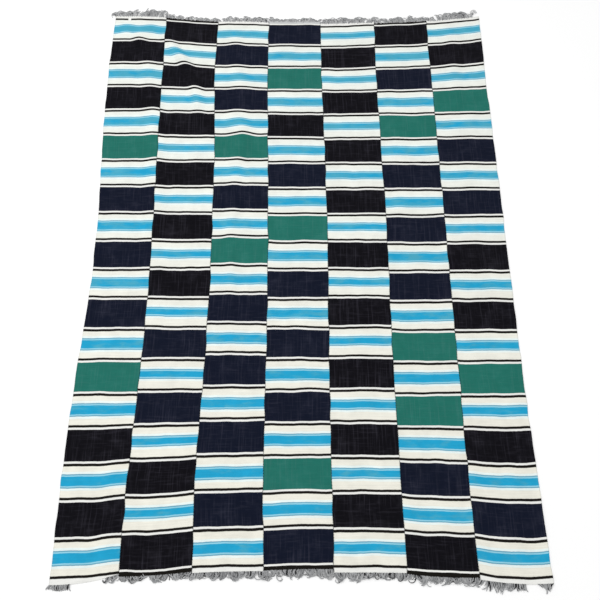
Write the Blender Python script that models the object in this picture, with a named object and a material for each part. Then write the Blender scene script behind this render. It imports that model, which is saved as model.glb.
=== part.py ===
# Strip-woven cotton blanket: seven narrow bands sewn edge to edge, lying on a floor,
# with frayed warp ends at both ends.
#
# Frame: metres, +Z up. X runs across the bands, Y along them, with the far end at +Y.
# The origin is under the middle of the blanket's box, on the floor.
# The tables below are in millimetres, and MM turns them into metres.

import bpy
import bmesh
import math
import random
from collections import namedtuple

MM = 0.001

# Cloth
BAND_COUNT = 7
SHEET_THICKNESS = 2.0
SEAM_GAP = 0.3
BAND_COLUMNS = 12
BAND_ROWS = 40
INNER_ROWS_FROM = 780.0

# Fringe
LOCKS_PER_END = 16
BACKING_WIDTH = 5.0
BACKING_INSET = 1.0
LOCK_ROOT_WIDTH = 5.0
LOCK_BELLY_WIDTH = 4.2
LOCK_TIP_WIDTH = 2.2
LOCK_BELLY_AT = 0.55
LOCK_TIP_HEIGHT = 1.2
LOCK_SWAY = 2.6
LOCK_BELLY_SWAY = 0.35
LOCK_LENGTH_SPREAD = 0.18
LOCK_SHORTEST = 7.0

# Colours, as linear red, green and blue
CLOTH_COLOUR = (0.020, 0.030, 0.045)
FRINGE_COLOUR = (0.230, 0.235, 0.240)
COTTON_ROUGHNESS = 0.9

# Where the eight selvedge lines run: one row for each section across the blanket, from the
# far end to the near end. Line 0 is the left edge, line 7 the right one.
Section = namedtuple("Section", "y line_0 line_1 line_2 line_3 line_4 line_5 line_6 line_7")
SECTIONS = (
    Section(840, -579, -417, -250, -89, 75, 246, 412, 583),
    Section(610, -582, -415, -254, -92, 74, 242, 410, 578),
    Section(370, -575, -411, -245, -88, 78, 244, 411, 576),
    Section(130, -564, -407, -241, -85, 80, 246, 410, 575),
    Section(-110, -562, -405, -240, -84, 79, 244, 410, 574),
    Section(-350, -572, -410, -246, -87, 77, 242, 409, 572),
    Section(-590, -578, -418, -255, -90, 77, 243, 408, 575),
    Section(-840, -577, -420, -251, -86, 77, 245, 413, 580),
)

# Where each band ends, at its left selvedge, its middle and its right selvedge.
BandEnd = namedtuple("BandEnd", "band end left middle right")
BAND_ENDS = (
    BandEnd(1, "far", 842, 842, 838),
    BandEnd(2, "far", 837, 828, 821),
    BandEnd(3, "far", 820, 821, 816),
    BandEnd(4, "far", 820, 820, 819),
    BandEnd(5, "far", 811, 813, 818),
    BandEnd(6, "far", 815, 818, 824),
    BandEnd(7, "far", 823, 830, 842),
    BandEnd(1, "near", -846, -840, -822),
    BandEnd(2, "near", -828, -825, -817),
    BandEnd(3, "near", -820, -817, -816),
    BandEnd(4, "near", -815, -812, -812),
    BandEnd(5, "near", -819, -819, -820),
    BandEnd(6, "near", -822, -829, -830),
    BandEnd(7, "near", -834, -843, -842),
)

# The low folds in which the cloth stands off the floor. A fold runs along the blanket:
# one row for each section of it, with its place, its height and its half width there.
FoldSection = namedtuple("FoldSection", "fold y x height half_width")
FOLD_SECTIONS = (
    FoldSection("left", 815, -490, 0, 34),
    FoldSection("left", 745, -495, 10, 36),
    FoldSection("left", 655, -462, 4, 38),
    FoldSection("left", 570, -452, 5, 40),
    FoldSection("left", 470, -430, 7, 44),
    FoldSection("left", 370, -420, 6, 46),
    FoldSection("left", 215, -408, 7, 46),
    FoldSection("left", 45, -406, 5, 44),
    FoldSection("left", -80, -408, 0, 44),
    FoldSection("slanting", 800, -420, 0, 30),
    FoldSection("slanting", 745, -404, 5, 32),
    FoldSection("slanting", 700, -378, 12, 32),
    FoldSection("slanting", 655, -351, 12, 34),
    FoldSection("slanting", 570, -314, 9, 32),
    FoldSection("slanting", 475, -298, 5, 30),
    FoldSection("slanting", 390, -293, 0, 30),
    FoldSection("long", 810, -195, 0, 36),
    FoldSection("long", 730, -192, 4, 38),
    FoldSection("long", 650, -188, 3, 40),
    FoldSection("long", 560, -165, 4, 56),
    FoldSection("long", 480, -186, 5, 46),
    FoldSection("long", 395, -166, 11, 48),
    FoldSection("long", 310, -178, 6, 36),
    FoldSection("long", 60, -186, 5, 32),
    FoldSection("long", -120, -187, 5, 32),
    FoldSection("long", -290, -190, 4, 32),
    FoldSection("long", -410, -192, 0, 32),
    FoldSection("right", 810, 490, 0, 32),
    FoldSection("right", 740, 486, 5, 34),
    FoldSection("right", 570, 484, 4, 34),
    FoldSection("right", 450, 482, 0, 34),
)

# How long the frayed ends hang out of each band's end, at its left, middle and right, and
# the stretch that has lost them, in parts of the band's width (none where both are 0).
Fringe = namedtuple("Fringe", "band end left middle right bare_from bare_to")
FRINGES = (
    Fringe(1, "far", 20, 27, 22, 0, 0),
    Fringe(2, "far", 14, 13, 12, 0, 0),
    Fringe(3, "far", 14, 17, 15, 0, 0),
    Fringe(4, "far", 13, 12, 12, 0, 0),
    Fringe(5, "far", 14, 22, 20, 0, 0),
    Fringe(6, "far", 19, 18, 17, 0, 0),
    Fringe(7, "far", 18, 24, 20, 0.88, 1.0),
    Fringe(1, "near", 22, 18, 14, 0.30, 0.82),
    Fringe(2, "near", 15, 18, 16, 0, 0),
    Fringe(3, "near", 21, 21, 20, 0, 0),
    Fringe(4, "near", 19, 21, 20, 0, 0),
    Fringe(5, "near", 20, 19, 18, 0, 0),
    Fringe(6, "near", 17, 20, 20, 0, 0),
    Fringe(7, "near", 20, 21, 24, 0.62, 0.77),
)

OUTWARD = {"far": 1.0, "near": -1.0}


def through_rows(rows, y, column):
    """Value of a column at y, on a smooth curve through the rows, which run down in y."""
    if y >= rows[0].y:
        return float(getattr(rows[0], column))
    if y <= rows[-1].y:
        return float(getattr(rows[-1], column))
    upper = next(i for i in range(len(rows) - 1) if rows[i + 1].y < y <= rows[i].y)
    here, there = rows[upper], rows[upper + 1]
    before, after = rows[max(upper - 1, 0)], rows[min(upper + 2, len(rows) - 1)]
    step = there.y - here.y
    slope_here = (getattr(there, column) - getattr(before, column)) / (there.y - before.y)
    slope_there = (getattr(after, column) - getattr(here, column)) / (after.y - here.y)
    t = (y - here.y) / step
    return ((2 * t**3 - 3 * t**2 + 1) * getattr(here, column)
            + (t**3 - 2 * t**2 + t) * step * slope_here
            + (3 * t**2 - 2 * t**3) * getattr(there, column)
            + (t**3 - t**2) * step * slope_there)


def easing(rows, y, column):
    """Value of a column at y, eased from row to row, so that it never overshoots."""
    upper = next(i for i in range(len(rows) - 1) if rows[i + 1].y <= y)
    here, there = rows[upper], rows[upper + 1]
    t = (y - here.y) / (there.y - here.y)
    ease = t * t * (3 - 2 * t)
    return getattr(here, column) * (1 - ease) + getattr(there, column) * ease


def selvedge_x(line, y):
    return through_rows(SECTIONS, y, f"line_{line}")


def band_x(band, across, y, inset=SEAM_GAP / 2):
    """X at a part of the band's width, 0 at its left selvedge and 1 at its right one."""
    left = selvedge_x(band - 1, y) + inset
    right = selvedge_x(band, y) - inset
    return left + (right - left) * across


def band_end_y(band, end, across):
    """Y of the band's end: a parabola through its left, middle and right places."""
    row = next(r for r in BAND_ENDS if r.band == band and r.end == end)
    bow = row.middle - (row.left + row.right) / 2
    return row.left + (row.right - row.left) * across + 4 * bow * across * (1 - across)


def cloth_lift(x, y):
    """How far the cloth stands off the floor: a smooth bell across each fold."""
    lift = 0.0
    for fold in dict.fromkeys(row.fold for row in FOLD_SECTIONS):
        rows = [row for row in FOLD_SECTIONS if row.fold == fold]
        if not rows[-1].y < y < rows[0].y:
            continue
        distance = abs(x - through_rows(rows, y, "x")) / easing(rows, y, "half_width")
        if distance < 1:
            lift = max(lift, easing(rows, y, "height") * 0.5 * (1 + math.cos(math.pi * distance)))
    return lift


def cotton(name, colour):
    material = bpy.data.materials.new(name)
    material.use_nodes = True
    shader = material.node_tree.nodes["Principled BSDF"]
    shader.inputs["Base Color"].default_value = (*colour, 1.0)
    shader.inputs["Roughness"].default_value = COTTON_ROUGHNESS
    shader.inputs["Metallic"].default_value = 0.0
    return material


def add_object(name, bm, material, parent):
    bmesh.ops.recalc_face_normals(bm, faces=bm.faces)
    mesh = bpy.data.meshes.new(name)
    bm.to_mesh(mesh)
    bm.free()
    mesh.materials.append(material)
    piece = bpy.data.objects.new(name, mesh)
    piece.parent = parent
    bpy.context.scene.collection.objects.link(piece)
    return piece


def build_band(band, material, parent):
    """A sheet on a grid that follows the selvedges, the ends and the folds, raised to its thickness."""
    bm = bmesh.new()
    inner_step = 2 * INNER_ROWS_FROM / (BAND_ROWS - 2)
    grid = []
    for row in range(BAND_ROWS + 1):
        line = []
        for column in range(BAND_COLUMNS + 1):
            across = column / BAND_COLUMNS
            y = INNER_ROWS_FROM - (row - 1) * inner_step
            if row == 0:
                y = band_end_y(band, "far", across)
            elif row == BAND_ROWS:
                y = band_end_y(band, "near", across)
            x = band_x(band, across, y)
            line.append(bm.verts.new((x * MM, y * MM, cloth_lift(x, y) * MM)))
        grid.append(line)
    for upper, lower in zip(grid, grid[1:]):
        for column in range(BAND_COLUMNS):
            bm.faces.new((upper[column], lower[column], lower[column + 1], upper[column + 1]))
    raised = bmesh.ops.extrude_face_region(bm, geom=list(bm.faces))
    top = [item for item in raised["geom"] if isinstance(item, bmesh.types.BMVert)]
    bmesh.ops.translate(bm, verts=top, vec=(0, 0, SHEET_THICKNESS * MM))
    return add_object(f"strip_{band}", bm, material, parent)


def lock_length(fringe, across, rng):
    """Length of a lock: a parabola through the fringe's three lengths, unevenly frayed."""
    bow = fringe.middle - (fringe.left + fringe.right) / 2
    length = fringe.left + (fringe.right - fringe.left) * across + 4 * bow * across * (1 - across)
    return max(LOCK_SHORTEST, length * rng.uniform(1 - LOCK_LENGTH_SPREAD, 1 + LOCK_LENGTH_SPREAD))


def add_lock(bm, root, x, y, length, sway, outward):
    """One lock: two lengths of a four-sided strand that lies flat on the floor and tapers."""
    stations = (
        (LOCK_BELLY_AT, LOCK_BELLY_WIDTH, SHEET_THICKNESS, LOCK_BELLY_SWAY * sway),
        (1.0, LOCK_TIP_WIDTH, LOCK_TIP_HEIGHT, sway),
    )
    ring = root
    for part, width, height, shift in stations:
        middle = x + shift
        ahead = y + outward * length * part
        corners = ((middle - width / 2, 0), (middle + width / 2, 0),
                   (middle + width / 2, height), (middle - width / 2, height))
        following = [bm.verts.new((cx * MM, ahead * MM, cz * MM)) for cx, cz in corners]
        for side in range(4):
            turn = (side + 1) % 4
            bm.faces.new((ring[side], ring[turn], following[turn], following[side]))
        ring = following
    bm.faces.new(ring)


def build_fringe(fringe, material, parent):
    """A narrow backing along the band's end, with the locks standing out of its outer wall."""
    rng = random.Random(10 * fringe.band + (1 if fringe.end == "far" else 2))
    outward = OUTWARD[fringe.end]
    bm = bmesh.new()

    def corner_pair(across, offset):
        y = band_end_y(fringe.band, fringe.end, across) + outward * offset
        x = band_x(fringe.band, across, y, BACKING_INSET)
        return [bm.verts.new((x * MM, y * MM, z * MM)) for z in (0, SHEET_THICKNESS)]

    end_y = band_end_y(fringe.band, fringe.end, 0.5)
    width = band_x(fringe.band, 1, end_y) - band_x(fringe.band, 0, end_y)
    half_root = LOCK_ROOT_WIDTH / 2 / width
    outer_offset = SEAM_GAP + BACKING_WIDTH
    outer = [corner_pair(0, outer_offset)]
    roots = []
    for lock in range(LOCKS_PER_END):
        across = (lock + 0.5) / LOCKS_PER_END
        if fringe.bare_from < across < fringe.bare_to:
            continue
        roots.append((len(outer), across))
        outer.append(corner_pair(across - half_root, outer_offset))
        outer.append(corner_pair(across + half_root, outer_offset))
    outer.append(corner_pair(1, outer_offset))
    inner = [corner_pair(column / BAND_COLUMNS, SEAM_GAP) for column in range(BAND_COLUMNS, -1, -1)]

    loop = outer + inner
    bm.faces.new([pair[0] for pair in loop])
    bm.faces.new([pair[1] for pair in reversed(loop)])
    root_starts = {index for index, across in roots}
    for index, pair in enumerate(loop):
        following = loop[(index + 1) % len(loop)]
        if index not in root_starts:
            bm.faces.new((pair[0], following[0], following[1], pair[1]))
    for index, across in roots:
        left, right = outer[index], outer[index + 1]
        y = band_end_y(fringe.band, fringe.end, across) + outward * outer_offset
        x = band_x(fringe.band, across, y, BACKING_INSET)
        sway = rng.uniform(-LOCK_SWAY, LOCK_SWAY)
        length = lock_length(fringe, across, rng) - BACKING_WIDTH
        add_lock(bm, (left[0], right[0], right[1], left[1]), x, y, length, sway, outward)
    return add_object(f"fringe_{fringe.end}_{fringe.band}", bm, material, parent)


def middle_of_box(pieces):
    points = [vertex.co for piece in pieces for vertex in piece.data.vertices]
    return [(min(p[axis] for p in points) + max(p[axis] for p in points)) / 2 for axis in (0, 1)]


def main():
    for old in list(bpy.data.objects):
        bpy.data.objects.remove(old, do_unlink=True)

    blanket = bpy.data.objects.new("blanket", None)
    bpy.context.scene.collection.objects.link(blanket)
    cloth = cotton("banded_cotton", CLOTH_COLOUR)
    frayed = cotton("frayed_warp", FRINGE_COLOUR)

    pieces = [build_band(band, cloth, blanket) for band in range(1, BAND_COUNT + 1)]
    pieces += [build_fringe(fringe, frayed, blanket) for fringe in FRINGES]

    middle_x, middle_y = middle_of_box(pieces)
    blanket.location = (-middle_x, -middle_y, 0)


main()
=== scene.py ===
# Strip-woven cotton blanket: seven bands sewn edge to edge, frayed at both ends, lying on a pale floor.
# Shapes are drawn in millimetres in the blanket's own drawing frame, x across the bands, y along them
# to the far end and z up from the floor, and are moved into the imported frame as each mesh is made.

import math
import bpy
import numpy as np
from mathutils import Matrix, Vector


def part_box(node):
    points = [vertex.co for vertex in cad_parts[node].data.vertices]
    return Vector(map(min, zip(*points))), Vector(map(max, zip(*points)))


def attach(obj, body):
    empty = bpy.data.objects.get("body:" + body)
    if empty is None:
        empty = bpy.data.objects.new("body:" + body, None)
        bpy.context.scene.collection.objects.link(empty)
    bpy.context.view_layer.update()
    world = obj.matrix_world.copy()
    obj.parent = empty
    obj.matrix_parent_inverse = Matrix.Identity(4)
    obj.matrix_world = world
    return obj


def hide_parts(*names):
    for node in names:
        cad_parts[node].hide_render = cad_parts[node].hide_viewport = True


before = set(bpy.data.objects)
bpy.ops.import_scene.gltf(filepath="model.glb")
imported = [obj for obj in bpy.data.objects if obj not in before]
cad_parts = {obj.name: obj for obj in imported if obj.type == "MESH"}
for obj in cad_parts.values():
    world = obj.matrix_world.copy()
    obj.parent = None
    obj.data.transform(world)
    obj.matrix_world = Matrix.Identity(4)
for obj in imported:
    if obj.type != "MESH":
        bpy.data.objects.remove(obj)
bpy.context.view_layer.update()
print(f"packed frame read: {len(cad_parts)} nodes")

blanket = {
    "bandCount": 7,
    "bandWidth": 165.0,     # nominal, for the weave map; the selvedges give the real width
    "rowCount": 19,         # blocks along a band
    "rowPitch": 86.0,       # nominal length of a block, likewise
    "thickness": 2.0,
    "seamGap": 0.3,
}

# Where the eight selvedge lines run, at each y from the far end to the near end.
selvedges = {
    "y": (840, 610, 370, 130, -110, -350, -590, -840),
    "x": (
        (-579, -582, -575, -564, -562, -572, -578, -577),
        (-417, -415, -411, -407, -405, -410, -418, -420),
        (-250, -254, -245, -241, -240, -246, -255, -251),
        (-89, -92, -88, -85, -84, -87, -90, -86),
        (75, 74, 78, 80, 79, 77, 77, 77),
        (246, 242, 244, 246, 244, 242, 243, 245),
        (412, 410, 411, 410, 410, 409, 408, 413),
        (583, 578, 576, 575, 574, 572, 575, 580),
    ),
}

# y of each band's ends at its left selvedge, its middle and its right selvedge.
bandEnds = {
    "far": ((842, 842, 838), (837, 828, 821), (820, 821, 816), (820, 820, 819), (811, 813, 818),
            (815, 818, 824), (823, 830, 842)),
    "near": ((-846, -840, -822), (-828, -825, -817), (-820, -817, -816), (-815, -812, -812),
             (-819, -819, -820), (-822, -829, -830), (-834, -843, -842)),
}

# The weft lines between blocks, counted from 0 at the far end to 19 at the near end, are evenly spaced, but
# in each band they sag towards the near end: this far at one third and at two thirds of the way along.
# Close to an end they take on its slant.
weft = {
    "endMargin": 10.0,      # from a band's end to its first or last weft line
    "sags": ((6, 3), (6, 5), (-3, -6), (10, 11), (5, -1), (6, 8), (8, 2)),
    "slantRows": 6.0,       # how many rows the slant of an end takes to die out
    "cutSlant": 0.5,        # share of the slant at band 1's near end, which is cut askew
}

# Low folds along the blanket: y, x, height and half width of each place on them.
folds = (
    ((815, -490, 0, 34), (745, -495, 10, 36), (655, -462, 4, 38), (570, -452, 5, 40), (470, -430, 7, 44),
     (370, -420, 6, 46), (215, -408, 7, 46), (45, -406, 5, 44), (-80, -408, 0, 44)),
    ((800, -420, 0, 30), (745, -404, 5, 32), (700, -378, 12, 32), (655, -351, 12, 34), (570, -314, 9, 32),
     (475, -298, 5, 30), (390, -293, 0, 30)),
    ((810, -195, 0, 36), (730, -192, 4, 38), (650, -188, 3, 40), (560, -165, 4, 56), (480, -186, 5, 46),
     (395, -166, 11, 48), (310, -178, 6, 36), (60, -186, 5, 32), (-120, -187, 5, 32), (-290, -190, 4, 32),
     (-410, -192, 0, 32)),
    ((810, 490, 0, 32), (740, 486, 5, 34), (570, 484, 4, 34), (450, 482, 0, 34)),
)

# Creases: their points, how high they stand and how wide they are.
creases = (
    {"points": ((405, 321), (359, 295), (302, 269), (268, 254)), "height": 1.9, "width": 6},
    {"points": ((396, -335), (352, -311), (302, -281), (258, -266)), "height": 2.1, "width": 6},
    {"points": ((398, 448), (340, 442), (300, 449)), "height": 1.2, "width": 7},
    {"points": ((-316, 543), (-302, 488)), "height": 1.4, "width": 6},
    {"points": ((-182, 9), (-180, -46)), "height": 1.2, "width": 6},
    {"points": ((-438, -610), (-424, -655)), "height": 1.2, "width": 6},
    {"points": ((-269, -673), (-279, -714)), "height": 1.2, "width": 6},
    {"points": ((258, -785), (319, -801)), "height": 1.4, "width": 6},
)

cloth = {
    "columns": 36,              # inner columns of the grid across a band
    "rows": 430,                # inner rows along it
    "edgeSteps": (0.0, 0.6, 1.4, 2.6, 4.4),     # columns and rows close to an edge
    "edgeRound": 2.2,           # how far in the edge starts to round off
    "edgeDrop": 0.9,
    "edgeRise": 0.5,            # how far the underside curls up at the edge
    "rumples": ((95, 0.50), (38, 0.34), (15, 0.16)),    # size and height of the soft unevenness
    "rumpleSeed": 7,
    "pucker": 0.45,             # puckering beside a seam
    "puckerReach": 8.0,
    "puckerPitch": 9.0,
    "puckerApart": 50.0,        # keeps one seam's puckers unlike the next one's
    "puckerSeed": 90,
    "wobble": 1.5,              # waviness of the selvedges
    "wobblePitch": 38.0,
    "wobbleSeed": 40,
}

latticeSize = 256       # places along each side of a noise's lattice
millimetre = 0.001


def locate(places, values, at):
    # The places and values in rising order, the piece that at is in, and how far along it, from 0 to 1.
    order = np.argsort(places)
    p = np.asarray(places, float)[order]
    v = np.asarray(values, float)[order]
    at = np.clip(at, p[0], p[-1])
    i = np.clip(np.searchsorted(p, at) - 1, 0, len(p) - 2)
    return p, v, i, (at - p[i]) / (p[i + 1] - p[i])


def eased(t):
    # From 0 to 1 by 3t^2 - 2t^3, level at both ends.
    return t * t * (3 - 2 * t)


def smoothThrough(places, values, at):
    # Cubic through the places: each piece leaves and arrives with the slope between its neighbours.
    p, v, i, t = locate(places, values, at)
    slopes = np.empty_like(v)
    slopes[1:-1] = (v[2:] - v[:-2]) / (p[2:] - p[:-2])
    slopes[0] = (v[1] - v[0]) / (p[1] - p[0])
    slopes[-1] = (v[-1] - v[-2]) / (p[-1] - p[-2])
    step = p[i + 1] - p[i]
    return ((2 * t**3 - 3 * t**2 + 1) * v[i] + (t**3 - 2 * t**2 + t) * step * slopes[i]
            + (3 * t**2 - 2 * t**3) * v[i + 1] + (t**3 - t**2) * step * slopes[i + 1])


def easedThrough(places, values, at):
    # From place to place by 3t^2 - 2t^3, so that it never overshoots.
    p, v, i, t = locate(places, values, at)
    return v[i] * (1 - eased(t)) + v[i + 1] * eased(t)


def throughThree(left, middle, right, across):
    # Parabola through three values: the straight line from left to right plus 4 bow t (1 - t).
    bow = middle - (left + right) / 2
    return left + (right - left) * across + 4 * bow * across * (1 - across)


def softNoise(x, y, cell, seed):
    # Random heights from -1 to 1 on a square lattice, blended from corner to corner by 3t^2 - 2t^3.
    lattice = np.random.default_rng(seed).uniform(-1, 1, (latticeSize, latticeSize))
    gx = x / cell + latticeSize / 2
    gy = y / cell + latticeSize / 2
    ix = np.floor(gx).astype(int)
    iy = np.floor(gy).astype(int)
    ex = eased(gx - ix)
    ey = eased(gy - iy)
    ix0, ix1 = ix % latticeSize, (ix + 1) % latticeSize
    iy0, iy1 = iy % latticeSize, (iy + 1) % latticeSize
    low = lattice[ix0, iy0] * (1 - ex) + lattice[ix1, iy0] * ex
    high = lattice[ix0, iy1] * (1 - ex) + lattice[ix1, iy1] * ex
    return low * (1 - ey) + high * ey


def selvedgeX(line, y):
    # The line's smooth course, plus a slight waviness that both bands beside it share.
    course = smoothThrough(selvedges["y"], selvedges["x"][line], y)
    return course + cloth["wobble"] * softNoise(y, 0 * y, cloth["wobblePitch"], cloth["wobbleSeed"] + line)


def bandX(band, across, y):
    # Even steps from the left selvedge to the right one, each half a seam's gap inside its line.
    left = selvedgeX(band - 1, y) + blanket["seamGap"] / 2
    right = selvedgeX(band, y) - blanket["seamGap"] / 2
    return left + (right - left) * across


def bandEndY(band, end, across):
    # The parabola through the three places of the band's end.
    return throughThree(*bandEnds[end][band - 1], across)


def weftY(band, row, across):
    # Even steps from a margin inside the far end to one inside the near end, less a smooth sag, plus the
    # slant of each end, fading out over a few rows by 3t^2 - 2t^3.
    count = blanket["rowCount"]
    farMiddle = bandEndY(band, "far", 0.5)
    nearMiddle = bandEndY(band, "near", 0.5)
    first = farMiddle - weft["endMargin"]
    last = nearMiddle + weft["endMargin"]
    farSag, nearSag = weft["sags"][band - 1]
    sag = smoothThrough((0, 1 / 3, 2 / 3, 1), (0, farSag, nearSag, 0), row / count)
    fadeFar = eased(np.clip(1 - row / weft["slantRows"], 0, 1))
    fadeNear = eased(np.clip(1 - (count - row) / weft["slantRows"], 0, 1))
    if band == 1:
        fadeNear = fadeNear * weft["cutSlant"]
    return (first + (last - first) * row / count - sag
            + (bandEndY(band, "far", across) - farMiddle) * fadeFar
            + (bandEndY(band, "near", across) - nearMiddle) * fadeNear)


def rowAtEnd(band, end, across):
    # The row number, a little under 0 or over 19, whose weft line lies on the band's end: each round
    # moves it by the distance that is left, in blocks.
    row = np.full_like(across, 0.0 if end == "far" else float(blanket["rowCount"]))
    for step in range(5):
        row += (weftY(band, row, across) - bandEndY(band, end, across)) / blanket["rowPitch"]
    return row


def foldLift(x, y):
    # Half a cosine wave across each fold; where two meet, the higher one counts.
    lift = np.zeros_like(x)
    for fold in folds:
        ys, xs, heights, widths = np.array(fold, float).T
        distance = np.abs(x - smoothThrough(ys, xs, y)) / easedThrough(ys, widths, y)
        bell = easedThrough(ys, heights, y) * 0.5 * (1 + np.cos(np.pi * np.minimum(distance, 1)))
        lift = np.maximum(lift, np.where((y > ys.min()) & (y < ys.max()), bell, 0))
    return lift


def creaseLift(x, y):
    # A bell of the distance d to the crease's line, exp(-(d / width)^2), so its ends are round.
    lift = np.zeros_like(x)
    for crease in creases:
        nearest = np.full_like(x, np.inf)
        for (ax, ay), (bx, by) in zip(crease["points"], crease["points"][1:]):
            dx, dy = bx - ax, by - ay
            t = np.clip(((x - ax) * dx + (y - ay) * dy) / (dx * dx + dy * dy), 0, 1)
            nearest = np.minimum(nearest, np.hypot(x - ax - t * dx, y - ay - t * dy))
        lift += crease["height"] * np.exp(-(nearest / crease["width"]) ** 2)
    return lift


def rumpleLift(x, y):
    # Sum of soft noises, each raised so that it never goes below the floor.
    return sum(height * 0.5 * (1 + softNoise(x, y, size, cloth["rumpleSeed"] + number))
               for number, (size, height) in enumerate(cloth["rumples"]))


def clothLift(x, y):
    # How far the cloth's underside is off the floor: folds, creases and rumples together.
    return foldLift(x, y) + creaseLift(x, y) + rumpleLift(x, y)


# The drawing frame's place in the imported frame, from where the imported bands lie.
farCorner = float(np.max(bandEndY(1, "far", np.linspace(0, 1, 13))))
sideYs = np.linspace(selvedges["y"][-1], selvedges["y"][0], 400)
leftEdge = float(np.min(smoothThrough(selvedges["y"], selvedges["x"][0], sideYs)))
rightEdge = float(np.max(smoothThrough(selvedges["y"], selvedges["x"][-1], sideYs)))
packedMiddle = (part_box("strip_1")[0].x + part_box("strip_7")[1].x) / 2 / millimetre
shiftX = packedMiddle - (leftEdge + rightEdge) / 2
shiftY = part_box("strip_1")[1].y / millimetre - farCorner
print(f"drawing frame moved by {shiftX:.2f}, {shiftY:.2f} mm")


def makePiece(name, points, faces, uv=None, corners=None, tone=None):
    # Points in drawing millimetres to a smooth mesh in metres, with an optional map called weave, given
    # for each point or each face corner, and an optional number for each point that its material reads.
    placed = (points + np.array((shiftX, shiftY, 0))) * millimetre
    mesh = bpy.data.meshes.new(name)
    mesh.from_pydata(placed.tolist(), [], faces)
    mesh.polygons.foreach_set("use_smooth", np.ones(len(mesh.polygons), bool))
    if uv is not None:
        pointOf = np.empty(len(mesh.loops), int)
        mesh.loops.foreach_get("vertex_index", pointOf)
        corners = uv[pointOf] * millimetre
    if corners is not None:
        mesh.uv_layers.new(name="weave").data.foreach_set("uv", corners.ravel())
    if tone is not None:
        mesh.attributes.new("tone", "FLOAT", "POINT").data.foreach_set("value", tone)
    mesh.update()
    mesh.validate()
    piece = bpy.data.objects.new(name, mesh)
    bpy.context.scene.collection.objects.link(piece)
    return piece


def gridFaces(rows, columns):
    # Quads between neighbouring rows and columns of a grid of points, facing up.
    index = np.arange(rows * columns).reshape(rows, columns)
    return np.stack((index[:-1, :-1], index[1:, :-1], index[1:, 1:], index[:-1, 1:]), -1).reshape(-1, 4)


def edgeLoop(rows, columns):
    # The grid's border points in order: down the left side, along the near end and back.
    index = np.arange(rows * columns).reshape(rows, columns)
    return np.concatenate((index[:-1, 0], index[-1, :-1], index[:0:-1, -1], index[0, :0:-1]))


def stations(length, steps, inner):
    # Places from 0 to 1: close together at both ends, even in between.
    near = np.array(steps) / length
    return np.concatenate((near[:-1], np.linspace(near[-1], 1 - near[-1], inner), 1 - near[-2::-1]))


def weaveBand(band):
    # A sheet on a grid of places across the band and weft rows along it: its top follows the folds,
    # creases and rumples and rounds off at the edges, and its underside runs a thickness lower.
    length = blanket["rowCount"] * blanket["rowPitch"]
    width = blanket["bandWidth"]
    columns = stations(width, cloth["edgeSteps"], cloth["columns"])
    rows = stations(length, cloth["edgeSteps"], cloth["rows"])
    across = np.broadcast_to(columns, (len(rows), len(columns))).copy()
    first = rowAtEnd(band, "far", columns)
    last = rowAtEnd(band, "near", columns)
    row = first + (last - first) * rows[:, None]
    y = weftY(band, row, across)
    x = bandX(band, across, y)

    # the edge rounds off by a quarter circle, and the cloth puckers less and less away from a seam
    fromSeam = np.minimum(across, 1 - across) * width
    fromEnd = np.minimum(rows, 1 - rows)[:, None] * length
    fromEdge = np.minimum(fromSeam, fromEnd)
    rounding = 1 - np.sqrt(1 - (1 - np.clip(fromEdge / cloth["edgeRound"], 0, 1)) ** 2)
    seamLine = np.where(across < 0.5, band - 1, band)
    pucker = softNoise(y, seamLine * cloth["puckerApart"], cloth["puckerPitch"], cloth["puckerSeed"])
    pucker = 0.5 * (1 + pucker) * cloth["pucker"] * np.exp(-fromSeam / cloth["puckerReach"])
    lift = clothLift(x, y) + pucker
    top = blanket["thickness"] + lift - cloth["edgeDrop"] * rounding
    bottom = lift + cloth["edgeRise"] * rounding

    # the grid is used twice, facing up and facing down, with walls between the two borders
    shape = (len(rows), len(columns))
    quads = gridFaces(*shape)
    border = edgeLoop(*shape)
    onward = np.roll(border, -1)
    count = len(rows) * len(columns)
    walls = np.stack((border, border + count, onward + count, onward), -1)
    faces = np.concatenate((quads, quads[:, ::-1] + count, walls))
    upper = np.stack((x, y, top), -1).reshape(-1, 3)
    lower = np.stack((x, y, bottom), -1).reshape(-1, 3)
    weave = np.stack((across * width, row * blanket["rowPitch"]), -1).reshape(-1, 2)
    return makePiece(f"band_{band}", np.concatenate((upper, lower)), faces.tolist(),
                     uv=np.concatenate((weave, weave)))


# Shader helpers. Those that add a node take numbers or other nodes' outputs and give back its output.


def addNode(tree, kind, values=None, **settings):
    # This one gives back the node itself. Its inputs are found by name or number, and set or linked.
    made = tree.nodes.new(kind)
    for name, value in settings.items():
        setattr(made, name, value)
    for key, value in (values or {}).items():
        if isinstance(value, bpy.types.NodeSocket):
            tree.links.new(value, made.inputs[key])
        else:
            made.inputs[key].default_value = value
    return made


def calc(tree, operation, *terms):
    return addNode(tree, "ShaderNodeMath", dict(enumerate(terms)), operation=operation).outputs[0]


def times(tree, first, second):
    return calc(tree, "MULTIPLY", first, second)


def minus(tree, first, second):
    return calc(tree, "SUBTRACT", first, second)


def vector(tree, x, y, z=0.0):
    return addNode(tree, "ShaderNodeCombineXYZ", {0: x, 1: y, 2: z}).outputs[0]


def noise(tree, place, scale=1.0, detail=2.0, roughness=0.5):
    # Soft noise, from 0 to 1 and mostly close to 0.5.
    values = {"Vector": place, "Scale": scale, "Detail": detail, "Roughness": roughness}
    return addNode(tree, "ShaderNodeTexNoise", values).outputs[0]


def between(tree, value, low, high, toLow=0.0, toHigh=1.0, smooth=True):
    # From toLow to toHigh as the value goes from low to high, by 3t^2 - 2t^3 or, if not smooth, straight.
    values = {"Value": value, "From Min": low, "From Max": high, "To Min": toLow, "To Max": toHigh}
    kind = "SMOOTHSTEP" if smooth else "LINEAR"
    return addNode(tree, "ShaderNodeMapRange", values, interpolation_type=kind).outputs[0]


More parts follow.
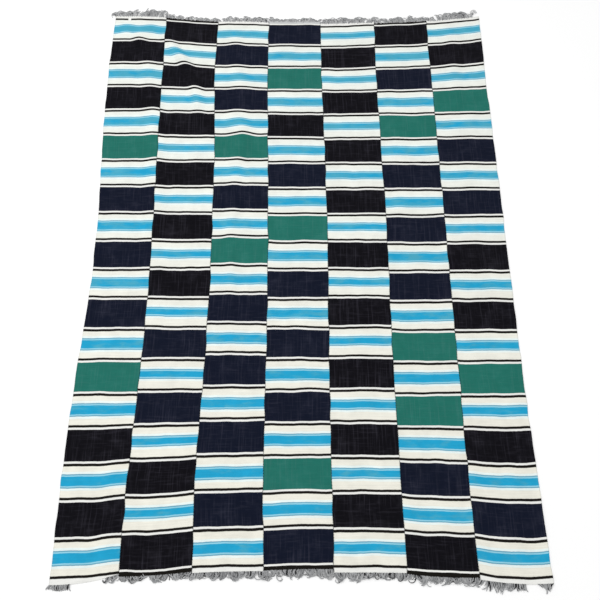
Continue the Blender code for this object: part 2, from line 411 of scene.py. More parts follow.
def blendColours(tree, amount, first, second, mode="MIX"):
    # From the first colour by amount to the second, or to their sum or product in the other modes.
    values = {0: amount, 6: first, 7: second}
    return addNode(tree, "ShaderNodeMix", values, data_type="RGBA", blend_type=mode).outputs[2]


def colourRamp(tree, value, stops, stepped=False):
    # Colours at places along the value, blended from one to the next or, if stepped, held up to it.
    made = addNode(tree, "ShaderNodeValToRGB", {0: value})
    made.color_ramp.interpolation = "CONSTANT" if stepped else "LINEAR"
    elements = made.color_ramp.elements
    while len(elements) > 1:
        elements.remove(elements[-1])
    elements[0].position = stops[0][0]
    elements[0].color = stops[0][1]
    for position, colour in stops[1:]:
        elements.new(position).color = colour
    return made.outputs[0]


def newMaterial(name, specular, sheen=0.0):
    # A material, with its node tree and its shader.
    material = bpy.data.materials.new(name)
    material.use_nodes = True
    tree = material.node_tree
    shader = tree.nodes["Principled BSDF"]
    shader.inputs["Specular IOR Level"].default_value = specular
    if sheen:
        shader.inputs["Sheen Weight"].default_value = sheen
        shader.inputs["Sheen Roughness"].default_value = 0.5
    return material, tree, shader


def addBump(tree, shader, height, strength, depth):
    # Turns the height into a bump of that depth, in metres, on the shader.
    values = {"Strength": strength, "Distance": depth, "Height": height}
    tree.links.new(addNode(tree, "ShaderNodeBump", values).outputs[0], shader.inputs["Normal"])


def dye(*screenColour):
    # Screen colour from 0 to 255, turned into the linear colour that a shader takes.
    parts = np.array(screenColour) / 255
    linear = np.where(parts <= 0.04045, parts / 12.92, ((parts + 0.055) / 1.055) ** 2.4)
    return (*linear.tolist(), 1.0)


dyes = {
    "cream": dye(236, 234, 222),
    "far cream": dye(236, 239, 232),
    "bright cream": dye(232, 244, 242),
    "white": dye(237, 237, 233),
    "line": dye(25, 23, 20),
    "blue": dye(37, 161, 204),
    "faded blue": dye(78, 168, 194),
    "pale blue": dye(150, 210, 228),
    "grey blue": dye(98, 160, 186),
    "black": dye(15, 14, 19),
    "navy": dye(18, 23, 39),
    "green": dye(36, 110, 98),
    "streak": dye(38, 37, 43),      # added to a dark block where single yarns show
    "grey white": dye(196, 198, 198),
}

# A striped block from its far edge to its near edge: where each yarn starts and its dye.
stripes = (
    (0.000, "white"), (0.005, "line"), (0.082, "cream"), (0.235, "bright cream"), (0.298, "grey blue"),
    (0.328, "pale blue"), (0.364, "blue"), (0.604, "pale blue"), (0.638, "grey blue"),
    (0.668, "bright cream"), (0.730, "cream"), (0.921, "line"), (0.992, "white"),
)
whiteLine = 0.053       # the white line at each edge of a plain block, in parts of the block
softEdge = 0.005        # how far two yarns run into one another

# How far each band's weaver started and ended the blue later than that, in parts of a block.
blueShifts = ((-0.005, 0.010), (0.022, -0.036), (0.036, 0.030), (0.020, 0.026), (0.018, -0.036),
              (0.008, 0.016), (0.006, -0.028))

# The plain blocks of each band, from the far end. Odd bands start with a striped block.
plainBlocks = (
    "black black green navy navy navy green black black",
    "black black black black black black navy navy black black",
    "navy navy green navy green navy navy navy navy",
    "navy green black navy green navy navy navy green navy",
    "black black black black black black black black black",
    "black navy green navy navy navy green green navy black",
    "black green navy navy black black green black navy",
)

weaveLook = {
    "warpPitch": 1.4,       # mm from one warp yarn to the next
    "weftPitch": 1.1,
    "gapShade": 0.16,       # painted shade: how much darker the cloth is between its yarns
    "meanCrossing": 0.4,    # about the mean of the crossing pattern, which is taken off it
    "wander": 6.8,          # mm that a weft line strays as its noise goes from 0 to 1
    "tooth": 1.0,           # the same for the fine unevenness along a line
    "warpStreak": 0.70,     # how much single warp yarns lighten a dark block
    "crossStreak": 0.65,    # how much weft yarns do so, as a share of that
    "patchStreak": 0.4,     # and how much its lighter patches do
    "weftStreak": 0.05,     # how much single weft yarns lighten or darken the cloth
    "patchShade": 0.05,     # and how much its patches do
    "coolCream": (0.3, 1.5),    # metres from the far end between which the cream turns warm
    "fade": 1.0,            # how much of the blue is gone where it is most faded
    "fadeReach": 1.3,       # metres from the far end over which the blue fades less and less
    # darkening at the selvedges: closer-beaten yarn and painted shade along the edges and seams
    "selvedgeDensityAndShade": 0.80,
    "selvedgeWidth": 0.0026,
    "bump": 0.40,
    "bumpDepth": 0.0006,
}

# Noises on the weave map: how much it is stretched across and along the band, the step from band to band
# that keeps them apart, the detail and the roughness. Three of them count yarns instead of metres.
weaveNoises = {
    "stray": (16.0, 7.0, 3.7, 1.0, 0.5),
    "tooth": (190.0, 60.0, 1.3, 1.0, 0.5),
    "fading": (22.0, 60.0, 6.3, 3.0, 0.6),
    "patches": (30.0, 26.0, 7.9, 3.0, 0.6),
    "warpYarns": (0.47, 9.0, 5.1, 2.0, 0.6),
    "weftYarns": (14.0, 0.47, 2.3, 2.0, 0.6),
    "crossYarns": (22.0, 0.31, 4.3, 2.0, 0.6),
}

# Two faults in band 1. Near its far end the first blue stripe waves across the band, and the first black
# line is broken for a centimetre. Rows are in blocks from the far end, the rest in metres.
faults = {
    "waveCrest": 0.041,
    "waveLength": 0.076,
    "waveHeight": 0.035,        # in parts of a block
    "waveSetsIn": (0.12, 0.30),  # rows
    "waveDiesOut": (0.70, 0.88),
    "breakMiddle": 0.046,
    "breakHalf": 0.0045,
    "breakRows": 0.12,
}


def weaveNoise(tree, name, band, across, along):
    # Noise at the place (across acrossScale, along alongScale, band apart).
    acrossScale, alongScale, apart, detail, roughness = weaveNoises[name]
    place = vector(tree, times(tree, across, acrossScale),
                   times(tree, along, alongScale), band * apart)
    return noise(tree, place, detail=detail, roughness=roughness)


def yarnNoises(tree, band, u, v):
    # The noise of single yarns is read once for each yarn, so that it steps from yarn to yarn.
    warpNumber = calc(tree, "FLOOR", calc(tree, "DIVIDE", u, weaveLook["warpPitch"] * millimetre))
    weftNumber = calc(tree, "FLOOR", calc(tree, "DIVIDE", v, weaveLook["weftPitch"] * millimetre))
    return {
        "patches": weaveNoise(tree, "patches", band, u, v),
        "warp": weaveNoise(tree, "warpYarns", band, warpNumber, v),
        "weft": weaveNoise(tree, "weftYarns", band, u, weftNumber),
        "cross": weaveNoise(tree, "crossYarns", band, u, weftNumber),
    }


def countRows(tree, band, u, v):
    # Blocks from the far end, row = (v + wander (stray - 1/2) + tooth (tooth - 1/2)) / pitch, so weft
    # lines stray a little and are uneven from yarn to yarn; also the whole part of it and the rest.
    place = v
    for name, reach in (("stray", weaveLook["wander"]), ("tooth", weaveLook["tooth"])):
        offset = minus(tree, weaveNoise(tree, name, band, u, v), 0.5)
        place = calc(tree, "MULTIPLY_ADD", offset, reach * millimetre, place)
    rowPlace = calc(tree, "DIVIDE", place, blanket["rowPitch"] * millimetre)
    rowNumber = calc(tree, "FLOOR", rowPlace)
    return rowPlace, rowNumber, minus(tree, rowPlace, rowNumber)


def waveStripe(tree, u, rowPlace, inRow):
    # The place in the block plus height cos(2 pi (u - crest) / length), which eases in and out inside the
    # first block, so that its edges stay straight.
    fromCrest = minus(tree, u, faults["waveCrest"])
    wave = calc(tree, "COSINE", times(tree, fromCrest, 2 * math.pi / faults["waveLength"]))
    setsIn = between(tree, rowPlace, *faults["waveSetsIn"], 0.0, faults["waveHeight"])
    diesOut = between(tree, rowPlace, *faults["waveDiesOut"], 1.0, 0.0)
    wave = times(tree, times(tree, wave, setsIn), diesOut)
    return calc(tree, "ADD", inRow, wave)


def stripedCotton(tree, band, u, v, inStriped):
    # The stripes one after the other by the place in the block, with the band's own start and end of blue.
    startShift, endShift = blueShifts[band - 1]
    shifted = []
    for start, name in stripes:
        if 0.2 < start < 0.4:
            start += startShift
        elif 0.6 < start < 0.8:
            start += endShift
        shifted.append((start, name))
    stops = [(shifted[0][0], dyes[shifted[0][1]])]
    for before, after in zip(shifted, shifted[1:]):
        stops.append((after[0] - softEdge, dyes[before[1]]))
        stops.append((after[0] + softEdge, dyes[after[1]]))
    striped = colourRamp(tree, inStriped, stops)

    # towards the far end the cream is cooler, and the blue more faded and more patchy
    cooler = {dyes["cream"]: dyes["far cream"]}
    farStriped = colourRamp(tree, inStriped, [(at, cooler.get(colour, colour)) for at, colour in stops])
    striped = blendColours(tree, between(tree, v, *weaveLook["coolCream"], 1.0, 0.0), striped, farStriped)
    blueNumber = [name for start, name in shifted].index("blue")
    blueStart, blueEnd = shifted[blueNumber][0], shifted[blueNumber + 1][0]
    inBlue = times(tree, between(tree, inStriped, blueStart, blueStart + 2 * softEdge),
                   between(tree, inStriped, blueEnd - 2 * softEdge, blueEnd, 1.0, 0.0))
    fadeFar = between(tree, v, 0.0, weaveLook["fadeReach"], 0.2, -0.04, smooth=False)
    fading = calc(tree, "ADD", weaveNoise(tree, "fading", band, u, v), fadeFar)
    fading = between(tree, fading, 0.42, 0.75, 0.0, weaveLook["fade"])
    return blendColours(tree, times(tree, fading, inBlue), striped, dyes["faded blue"])


def plainCotton(tree, band, rowNumber, inRow, yarns):
    # One dye for each plain block, changed half a row before it.
    names = plainBlocks[band - 1].split()
    firstPlain = band % 2
    rowStops = [(0.0, dyes[names[0]])]
    for number, name in enumerate(names[1:], 1):
        rowStops.append(((firstPlain + 2 * number - 0.5) / blanket["rowCount"], dyes[name]))
    alongBand = calc(tree, "DIVIDE", rowNumber, float(blanket["rowCount"]))
    ground = colourRamp(tree, alongBand, rowStops, stepped=True)

    # single warp yarns show as lighter streaks along the block, and weft yarns across it
    streaks = calc(tree, "MULTIPLY_ADD", between(tree, yarns["cross"], 0.5, 0.75), weaveLook["crossStreak"],
                   between(tree, yarns["warp"], 0.5, 0.75))
    streaks = calc(tree, "MULTIPLY_ADD", between(tree, yarns["patches"], 0.5, 0.72),
                   weaveLook["patchStreak"], streaks)
    streaks = times(tree, streaks, weaveLook["warpStreak"])
    streaked = blendColours(tree, 1.0, ground, dyes["streak"], mode="ADD")
    ground = blendColours(tree, streaks, ground, streaked)

    # a white line at each edge
    fromLine = minus(tree, 0.5, calc(tree, "ABSOLUTE", minus(tree, inRow, 0.5)))
    inWhite = between(tree, fromLine, whiteLine - softEdge, whiteLine + softEdge, 1.0, 0.0)
    return blendColours(tree, inWhite, ground, dyes["white"])


def finishEnds(tree, band, u, rowPlace, colour):
    # Beyond the first and last weft line the band ends in white or in black.
    endDye = dyes["white"] if band % 2 else dyes["line"]
    farDye = dyes["grey white"] if band == 4 else endDye
    beyondFar = calc(tree, "LESS_THAN", rowPlace, 0.0)
    if band == 1:
        fromBreak = calc(tree, "ABSOLUTE", minus(tree, u, faults["breakMiddle"]))
        broken = times(tree, calc(tree, "LESS_THAN", fromBreak, faults["breakHalf"]),
                       calc(tree, "LESS_THAN", rowPlace, faults["breakRows"]))
        beyondFar = calc(tree, "MAXIMUM", beyondFar, broken)
    beyondNear = calc(tree, "GREATER_THAN", rowPlace, float(blanket["rowCount"]))
    colour = blendColours(tree, beyondFar, colour, farDye)
    return blendColours(tree, beyondNear, colour, endDye)


def shadeWeave(tree, u, weave, yarns):
    # Yarns and patches differ a little in how much dye they took, and this is multiplied by a darkening
    # at the selvedges, partly their closer-beaten yarn and partly painted shade along the edges and seams,
    # and by painted shade at the crossings, darkest between the yarns.
    streak, patch = weaveLook["weftStreak"], weaveLook["patchShade"]
    shade = calc(tree, "ADD", between(tree, yarns["weft"], 0.3, 0.7, 1 - streak, 1 + streak, smooth=False),
                 between(tree, yarns["patches"], 0.3, 0.7, -patch, patch, smooth=False))
    otherSide = minus(tree, blanket["bandWidth"] * millimetre, u)
    # darker at the selvedges: closer-beaten yarn and painted shade along the edges and seams
    selvedgeDenseAndShaded = between(tree, calc(tree, "MINIMUM", u, otherSide), 0.0, weaveLook["selvedgeWidth"],
                       weaveLook["selvedgeDensityAndShade"], 1.0)
    # painted shade between the yarns, less its mean
    gapShade = minus(tree, calc(tree, "ABSOLUTE", weave), weaveLook["meanCrossing"])
    shade = times(tree, times(tree, shade, selvedgeDenseAndShaded),
                  calc(tree, "MULTIPLY_ADD", gapShade, weaveLook["gapShade"], 1.0))
    return vector(tree, shade, shade, shade)


def bandCotton(band):
    # The material of one band: its blocks are counted off along the weave map, striped and plain by turns.
    material, tree, shader = newMaterial(f"bandCotton{band}", specular=0.05, sheen=0.015)
    place = addNode(tree, "ShaderNodeUVMap", uv_map="weave").outputs[0]
    parts = addNode(tree, "ShaderNodeSeparateXYZ", {0: place})
    u, v = parts.outputs[0], parts.outputs[1]
    yarns = yarnNoises(tree, band, u, v)
    rowPlace, rowNumber, inRow = countRows(tree, band, u, v)
    inStriped = waveStripe(tree, u, rowPlace, inRow) if band == 1 else inRow
    striped = stripedCotton(tree, band, u, v, inStriped)
    plain = plainCotton(tree, band, rowNumber, inRow, yarns)

    # odd bands start with a striped block; the 40 keeps the count above 0 beyond the far end
    isStriped = calc(tree, "MODULO", calc(tree, "ADD", rowNumber, 40.0 + band % 2), 2.0)
    colour = blendColours(tree, minus(tree, 1.0, isStriped), striped, plain)
    colour = finishEnds(tree, band, u, rowPlace, colour)

    # plain weave: warp and weft yarns cross over and under by turns, sin(warp) sin(weft)
    waves = [calc(tree, "SINE", times(tree, way, math.pi / (weaveLook[pitch] * millimetre)))
             for way, pitch in ((u, "warpPitch"), (v, "weftPitch"))]
    weave = times(tree, *waves)
    # the dye variation of yarns and patches, times painted shade at the selvedges and between the yarns
    colour = blendColours(tree, 1.0, colour, shadeWeave(tree, u, weave, yarns), mode="MULTIPLY")
    tree.links.new(colour, shader.inputs["Base Color"])

    # the crossings, loose fibres and single weft yarns stand up a little
    fibre = noise(tree, place, scale=1500.0, detail=2.0)
    height = calc(tree, "ADD", times(tree, weave, 0.5), times(tree, fibre, 0.6))
    height = calc(tree, "ADD", height, times(tree, yarns["weft"], 0.8))
    addBump(tree, shader, height, weaveLook["bump"], weaveLook["bumpDepth"])
    roughness = between(tree, yarns["weft"], 0.3, 0.7, 0.86, 0.97, smooth=False)
    tree.links.new(roughness, shader.inputs["Roughness"])
    return material


bandPieces = {}
for band in range(1, blanket["bandCount"] + 1):
    piece = weaveBand(band)
    piece.data.materials.append(bandCotton(band))
    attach(piece, "root")
    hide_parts(f"strip_{band}")
    bandPieces[band] = piece
print("seven bands woven")


# Length of the frayed warp at each end's left, middle and right, and the stretch that has lost it.
fringes = {
    "far": ((20, 27, 22, 0, 0), (14, 13, 12, 0, 0), (14, 17, 15, 0, 0), (13, 12, 12, 0, 0),
            (14, 22, 20, 0, 0), (19, 18, 17, 0, 0), (18, 24, 20, 0.88, 1.0)),
    "near": ((22, 18, 14, 0.30, 0.82), (15, 18, 16, 0, 0), (21, 21, 20, 0, 0), (19, 21, 20, 0, 0),
             (20, 19, 18, 0, 0), (17, 20, 20, 0, 0), (20, 21, 24, 0.62, 0.77)),
}

fray = {
    "locks": 12,                # locks that the yarns of one end gather into
    "lockShift": 0.3,           # how far a lock is off its place, in locks
    "lockTurn": (0.4, 1.0),     # how much more one lock curls than another
    "lockLean": 0.22,           # spread of the locks' lean, in radians
    "lockReach": (0.68, 1.14),  # how much longer one lock is than another
    "darkLocks": 0.45,          # share of locks with more dark yarn
    "lockDark": (1.9, 0.35),    # how much dark yarn they have, and the others
    "rootDepth": {"far": 4.5, "near": 1.2},     # how far the yarns start inside the cloth
    "rootHeight": (0.6, 1.4),   # above the cloth's underside
    "longer": {"far": 1.3, "near": 1.03},       # curly yarn's length to the fringe's
    "slack": 0.16,              # and how much longer it is for each radian of curl
    "greys": {"far": (0.42, 0.85), "near": (0.38, 0.72)},
    "jitter": 0.45,             # how far a strand is off its place, in strands
    "contrary": 0.08,           # share of strands that curl against their lock
    "leanSpread": 0.13,         # of single strands, in radians
    "tuftSpread": 0.1,
    "turnPower": (1.3, 2.6),    # how late a strand turns
}

# Curled warp yarns, short broken ones between them, and fine loose fibres. Reach is in parts of the
# fringe's length, gather is how far a strand leans to its lock's middle, pile is how high it stands, and
# dark is the share of dark strands.
strands = {
    "curls": {"count": 68, "steps": 17, "sides": 6, "radius": 0.95, "reach": (0.72, 1.02), "turn": 4.0,
              "gather": 0.7, "pile": 2.6, "dark": {"far": 0.02, "near": 0.07}},
    "stubs": {"count": 150, "steps": 6, "sides": 5, "radius": 0.7, "reach": (0.38, 0.68), "turn": 1.8,
              "gather": 0.15, "pile": 0.91, "dark": {"far": 0.1, "near": 0.5}},
    "fibres": {"count": 40, "steps": 8, "sides": 3, "radius": 0.2, "reach": (0.35, 0.85), "turn": 3.0,
               "gather": 0.4, "pile": 2.6, "dark": {"far": 0.1, "near": 0.1}},
}

# Tufts unlike the rest: from and to across the band, the place that they gather to, their lean,
# and how much longer and how much curlier they are.
tufts = {
    (1, "near"): ((0.0, 0.31, None, -0.3, 0.78, 0.4), (0.0, 0.05, None, -0.75, 1.0, 0.2)),
    (7, "near"): ((0.08, 0.30, None, 0.05, 1.05, 0.2), (0.30, 0.62, None, -0.1, 0.88, 0.35),
                  (0.76, 1.0, 0.92, 0.0, 0.82, 0.15)),
    (1, "far"): ((0.54, 0.62, 0.58, 0.0, 1.05, 0.15), (0.82, 0.96, 0.93, 0.0, 0.9, 0.3)),
    (7, "far"): ((0.0, 0.2, 0.08, 0.0, 0.8, 0.4),),
}


def sweepYarns(paths, radii, sides):
    # A ring of points round each place of each path, at right angles to the path there, and a map
    # that runs once round the yarn and along it in millimetres.
    along = np.gradient(paths, axis=1)
    along /= np.linalg.norm(along, axis=2, keepdims=True) + 1e-9
    sideways = np.cross(along, np.array((0.0, 0.0, 1.0)))
    sideways /= np.linalg.norm(sideways, axis=2, keepdims=True) + 1e-9
    upward = np.cross(sideways, along)
    turn = np.linspace(0, 2 * np.pi, sides, endpoint=False)
    ring = np.cos(turn)[:, None] * sideways[:, :, None] + np.sin(turn)[:, None] * upward[:, :, None]
    points = paths[:, :, None] + radii[:, :, None, None] * ring
    yarns, steps = paths.shape[:2]
    index = np.arange(yarns * steps * sides).reshape(yarns, steps, sides)
    following = np.roll(index, -1, axis=2)
    tube = np.stack((index[:, :-1], following[:, :-1], following[:, 1:], index[:, 1:]), -1)
    faces = tube.reshape(-1, 4).tolist()
    faces += index[:, 0, ::-1].tolist()
    faces += index[:, -1].tolist()

    pieces = np.linalg.norm(np.diff(paths, axis=1), axis=2)
    travelled = np.concatenate((np.zeros((yarns, 1)), np.cumsum(pieces, axis=1)), axis=1)
    around = np.broadcast_to(np.arange(sides) / sides, (yarns, steps - 1, sides))
    start = np.broadcast_to(travelled[:, :-1, None], around.shape)
    finish = np.broadcast_to(travelled[:, 1:, None], around.shape)
    cornersU = np.stack((around, around + 1 / sides, around + 1 / sides, around), -1).ravel()
    cornersV = np.stack((start, start, finish, finish), -1).ravel()
    capCount = 2 * yarns * sides
    twist = np.stack((np.concatenate((cornersU, np.zeros(capCount))),
                      np.concatenate((cornersV, np.zeros(capCount)))), -1)
    return points.reshape(-1, 3), faces, twist


def strandPaths(rootX, rootY, rootZ, outward, length, lean, turn, power, steps):
    # Each strand sets off outwards and turns as it goes: its heading is lean + turn t^power, and its
    # path is the running sum of short steps along that heading.
    t = np.linspace(0, 1, steps)[None]
    heading = lean[:, None] + turn[:, None] * t ** power[:, None]
    step = length[:, None] / (steps - 1)
    moveX = step * np.sin(heading)
    moveY = step * np.cos(heading) * outward
    x = rootX[:, None] + np.cumsum(moveX, axis=1) - moveX[:, :1]
    y = rootY[:, None] + np.cumsum(moveY, axis=1) - moveY[:, :1]
    z = rootZ[:, None] * (1 - eased(t)) + np.zeros_like(x)
    return x, y, z, t


def strandsOf(kind, band, end, rng, locks):
    # Strands of one kind, evenly spaced but for a jitter. Each leans to the middle of its lock, or as its
    # tuft does, rises and sinks again as pile sin(pi t)^1.3, and tapers as 1.05 - 0.45 t^6.
    look = strands[kind]
    left, middle, right, bareFrom, bareTo = fringes[end][band - 1]
    outward = 1.0 if end == "far" else -1.0
    count = look["count"]
    across = (np.arange(count) + 0.5 + rng.uniform(-fray["jitter"], fray["jitter"], count)) / count
    across = across[(across < bareFrom) | (across > bareTo)]
    count = len(across)
    nearest = np.argmin(np.abs(across[:, None] - locks["middle"][None]), axis=1)
    reach = throughThree(left, middle, right, across)
    reach = reach * rng.uniform(*look["reach"], count) * fray["longer"][end]
    if kind == "curls":
        reach = reach * locks["reach"][nearest]
    toMiddle = (locks["middle"][nearest] - across) * blanket["bandWidth"]
    turn = locks["turn"][nearest] * rng.uniform(0.8, 1.15, count) * look["turn"]
    turn = np.where(rng.uniform(0, 1, count) < fray["contrary"], -turn, turn)
    lean = np.arctan2(toMiddle * look["gather"], reach) + locks["lean"][nearest]
    lean = lean + rng.normal(0, fray["leanSpread"], count)
    for tuftFrom, tuftTo, aim, aimLean, longer, curl in tufts.get((band, end), ()):
        inside = (across >= tuftFrom) & (across <= tuftTo)
        toAim = np.zeros(count) if aim is None else (aim - across) * blanket["bandWidth"]
        tuftLean = np.arctan2(toAim, reach) + aimLean + rng.normal(0, fray["tuftSpread"], count)
        lean = np.where(inside, tuftLean, lean)
        reach = np.where(inside, reach * longer, reach)
        turn = np.where(inside, turn * curl, turn)
    depth = fray["rootDepth"][end]
    length = (reach + depth) * (1 + fray["slack"] * np.abs(turn))
    power = rng.uniform(*fray["turnPower"], count)

    rootY = bandEndY(band, end, across) - outward * depth
    rootX = bandX(band, across, rootY)
    rootZ = clothLift(rootX, rootY) + rng.uniform(*fray["rootHeight"], count)
    x, y, z, t = strandPaths(rootX, rootY, rootZ, outward, length, lean, turn, power, look["steps"])
    arch = rng.uniform(0.1, 1.0, count)[:, None] * look["pile"]
    z = z + look["radius"] * t + arch * np.sin(np.pi * np.clip(t * 1.02, 0, 1)) ** 1.3
    radii = look["radius"] * rng.uniform(0.8, 1.15, count)[:, None] * (1.05 - 0.45 * t**6)
    points, faces, twist = sweepYarns(np.stack((x, y, z), -1), radii, look["sides"])
    points[:, 2] = np.maximum(points[:, 2], 0.0)
    darkShare = look["dark"][end] * locks["dark"][nearest]
    tone = np.where(rng.uniform(0, 1, count) < darkShare, 0.0, rng.uniform(*fray["greys"][end], count))
    return points, faces, twist, np.repeat(tone, look["steps"] * look["sides"])


def frayEnd(band, end):
    # All the strands of one end of a band, joined into one mesh.
    rng = np.random.default_rng(100 * band + (1 if end == "far" else 2))
    count = fray["locks"]
    shift = rng.uniform(-fray["lockShift"], fray["lockShift"], count)
    locks = {
        "middle": (np.arange(count) + 0.5 + shift) / count,
        "turn": rng.choice((-1.0, 1.0), count) * rng.uniform(*fray["lockTurn"], count),
        "lean": rng.normal(0, fray["lockLean"], count),
        "reach": rng.uniform(*fray["lockReach"], count),
        "dark": np.where(rng.uniform(0, 1, count) < fray["darkLocks"], *fray["lockDark"]),
    }
    points, faces, twists, tones = [], [], [], []
    start = 0
    for kind in strands:
        made = strandsOf(kind, band, end, rng, locks)
        points.append(made[0])
        faces += [[corner + start for corner in face] for face in made[1]]
        twists.append(made[2])
        tones.append(made[3])
        start += len(made[0])
    return makePiece(f"frayed_{end}_{band}", np.concatenate(points), faces,
                     corners=np.concatenate(twists), tone=np.concatenate(tones))


yarnLook = {
    "mottle": 0.5,          # how much a yarn's grey changes along it
    "mottleScale": 160.0,
    "fibreScale": 1800.0,
    "plyLength": 2.4,       # mm along the yarn for each of its two plies to come up
    "plyHeight": 1.2,       # to the fibres' 1
    "bump": 0.6,
    "bumpDepth": 0.0004,
}


def frayedWarp():
    # Grey and black yarn: the piece's own tone for each yarn, mottled along its length.
    material, tree, shader = newMaterial("frayedWarp", specular=0.08, sheen=0.03)
    tone = addNode(tree, "ShaderNodeAttribute", attribute_name="tone").outputs["Fac"]
    place = addNode(tree, "ShaderNodeTexCoord").outputs["Object"]
    mottle = minus(tree, noise(tree, place, scale=yarnLook["mottleScale"], detail=3.0), 0.5)
    mixed = calc(tree, "ADD", tone, times(tree, mottle, yarnLook["mottle"]))
    stops = ((0.0, dye(20, 20, 24)), (0.25, dye(40, 41, 47)), (0.40, dye(146, 147, 149)),
             (0.70, dye(182, 183, 184)), (1.0, dye(216, 216, 215)))
    tree.links.new(colourRamp(tree, mixed, stops), shader.inputs["Base Color"])

    # two plies wind round each other: |sin(w / 2)|, where w is two full turns for once round the yarn
    # plus one for each ply length along it
    fibre = noise(tree, place, scale=yarnLook["fibreScale"], detail=2.0)
    twist = addNode(tree, "ShaderNodeUVMap", uv_map="weave").outputs[0]
    parts = addNode(tree, "ShaderNodeSeparateXYZ", {0: twist})
    winding = calc(tree, "MULTIPLY_ADD", parts.outputs[1], 2 * math.pi / yarnLook["plyLength"],
                   times(tree, parts.outputs[0], 4 * math.pi))
    ply = calc(tree, "ABSOLUTE", calc(tree, "SINE", times(tree, winding, 0.5)))
    height = calc(tree, "MULTIPLY_ADD", ply, yarnLook["plyHeight"], fibre)
    addBump(tree, shader, height, yarnLook["bump"], yarnLook["bumpDepth"])
    roughness = between(tree, fibre, 0.3, 0.7, 0.85, 0.98, smooth=False)
    tree.links.new(roughness, shader.inputs["Roughness"])
    return material


frayMaterial = frayedWarp()
frayPieces = {band: [] for band in bandPieces}
for band in bandPieces:
    for end in ("far", "near"):
        piece = frayEnd(band, end)
        piece.data.materials.append(frayMaterial)
        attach(piece, "root")
        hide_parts(f"fringe_{end}_{band}")
        frayPieces[band].append(piece)
print("fourteen frayed ends made")


seam = {
    "pitch": 7.0,           # from stitch to stitch
    "jitter": 0.9,
    "reach": 1.7,           # how far a stitch goes into each band
    "reachSpread": (0.8, 1.2),
    "slant": 1.6,
    "slantSpread": (0.6, 1.4),
    "radius": 0.32,
    "steps": 7,
    "sides": 5,
    "height": 0.35,         # how far the thread stands above the cloth
    "dip": 0.25,            # and how far it sinks again over the seam itself
    "dive": 1.1,            # how far below the cloth's top its ends are
    "ends": 812.0,          # how far from the blanket's middle the stitches go
}


def sewSeam(line):
    # Overcast stitches: each one runs across the seam on a slant, and its height above the cloth's top is
    # height - (height + dive) |t|^3 - dip (1 - t^2), so that it dives into both bands.
    rng = np.random.default_rng(300 + line)
    count = int(2 * seam["ends"] / seam["pitch"])
    jitter = rng.uniform(-seam["jitter"], seam["jitter"], count)
    middleY = np.linspace(-seam["ends"], seam["ends"], count) + jitter
    t = np.linspace(-1, 1, seam["steps"])[None]
    reach = seam["reach"] * rng.uniform(*seam["reachSpread"], count)[:, None]
    slant = seam["slant"] * rng.uniform(*seam["slantSpread"], count)[:, None]
    y = middleY[:, None] + slant * t
    x = selvedgeX(line, middleY)[:, None] + reach * t
    top = blanket["thickness"] + clothLift(x, y)
    z = top + seam["height"] - (seam["height"] + seam["dive"]) * np.abs(t) ** 3 - seam["dip"] * (1 - t**2)
    radii = np.full(x.shape, seam["radius"])
    points, faces, twist = sweepYarns(np.stack((x, y, z), -1), radii, seam["sides"])
    return makePiece(f"seam_{line}", points, faces, corners=twist)


def seamThread():
    # Dark thread, mottled by one noise and roughened by a finer one.
    material, tree, shader = newMaterial("seamThread", specular=0.15)
    place = addNode(tree, "ShaderNodeTexCoord").outputs["Object"]
    mottle = noise(tree, place, scale=220.0, detail=2.0)
    colour = colourRamp(tree, mottle, ((0.3, dye(20, 21, 27)), (0.7, dye(46, 48, 58))))
    tree.links.new(colour, shader.inputs["Base Color"])
    fibre = noise(tree, place, scale=2200.0, detail=2.0)
    addBump(tree, shader, fibre, 0.4, 0.0003)
    tree.links.new(between(tree, fibre, 0.3, 0.7, 0.8, 0.95, smooth=False), shader.inputs["Roughness"])
    return material


threadMaterial = seamThread()
for line in range(1, blanket["bandCount"]):
    piece = sewSeam(line)
    piece.data.materials.append(threadMaterial)
    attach(piece, "root")
print("six seams sewn")


studio = {
    "floorSize": 12.0,
    "floorBelow": 0.0004,
    "floorGlow": 0.04,      # keeps the floor white to the edges of the picture
    "world": 0.77,
    "lamp": 30.0,
    "lampSize": 2.4,
    "lampPlace": (-0.9, 0.3, 2.6),
    "cameraPlace": (-32.0, -846.3, 1733.3),     # drawing millimetres
    "cameraTilt": 22.17,    # degrees off straight down
    "lens": 42.0,
    "sensor": 36.0,
    "sideShift": 0.0217,
    "upShift": 0.0008,
}


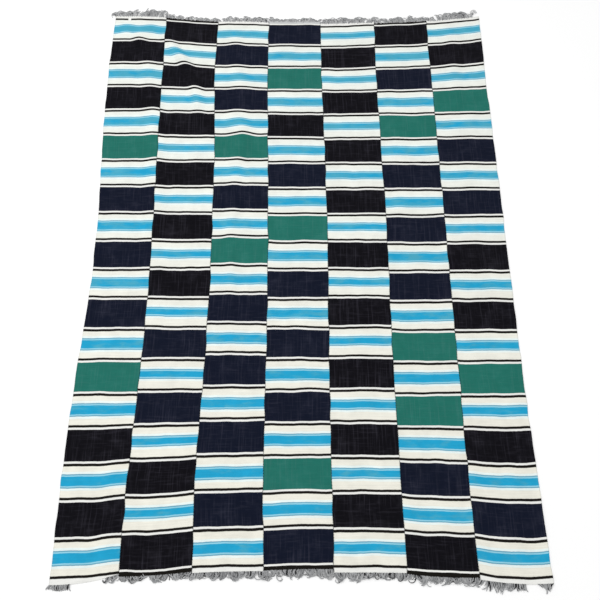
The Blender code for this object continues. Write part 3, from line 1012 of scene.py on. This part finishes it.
def layFloor():
    # A flat square just below z = 0, nearly white.
    half = studio["floorSize"] / 2
    low = -studio["floorBelow"]
    mesh = bpy.data.meshes.new("floor")
    mesh.from_pydata([(-half, -half, low), (half, -half, low), (half, half, low), (-half, half, low)],
                     [], [(0, 1, 2, 3)])
    mesh.update()
    laid = bpy.data.objects.new("floor", mesh)
    bpy.context.scene.collection.objects.link(laid)
    material, tree, shader = newMaterial("paleFloor", specular=0.1)
    place = addNode(tree, "ShaderNodeTexCoord").outputs["Object"]
    cloudy = noise(tree, place, scale=1.5, detail=2.0)
    paleness = colourRamp(tree, cloudy, ((0.3, dye(252, 252, 252)), (0.7, dye(255, 255, 255))))
    tree.links.new(paleness, shader.inputs["Base Color"])
    shader.inputs["Roughness"].default_value = 0.9
    shader.inputs["Emission Color"].default_value = (1.0, 1.0, 1.0, 1.0)
    shader.inputs["Emission Strength"].default_value = studio["floorGlow"]
    mesh.materials.append(material)
    return laid


floorPiece = layFloor()

scene = bpy.context.scene
scene.view_settings.view_transform = "Standard"

world = bpy.data.worlds.new("studioWorld")
scene.world = world
world.use_nodes = True
world.node_tree.nodes["Background"].inputs[0].default_value = (1.0, 1.0, 1.0, 1.0)
world.node_tree.nodes["Background"].inputs[1].default_value = studio["world"]

lampData = bpy.data.lights.new("softLamp", "AREA")
lampData.shape = "SQUARE"
lampData.size = studio["lampSize"]
lampData.energy = studio["lamp"]
lamp = bpy.data.objects.new("softLamp", lampData)
scene.collection.objects.link(lamp)
lamp.location = studio["lampPlace"]
aim = -lamp.location.normalized()
lamp.rotation_euler = aim.to_track_quat("-Z", "Y").to_euler()

cameraData = bpy.data.cameras.new("camera")
cameraData.lens = studio["lens"]
cameraData.sensor_width = studio["sensor"]
cameraData.shift_x = studio["sideShift"]
cameraData.shift_y = studio["upShift"]
camera = bpy.data.objects.new("camera", cameraData)
scene.collection.objects.link(camera)
cameraX, cameraY, cameraZ = studio["cameraPlace"]
camera.location = ((cameraX + shiftX) * millimetre, (cameraY + shiftY) * millimetre, cameraZ * millimetre)
camera.rotation_euler = (math.radians(studio["cameraTilt"]), 0.0, 0.0)
scene.camera = camera
print("floor, light and camera set")
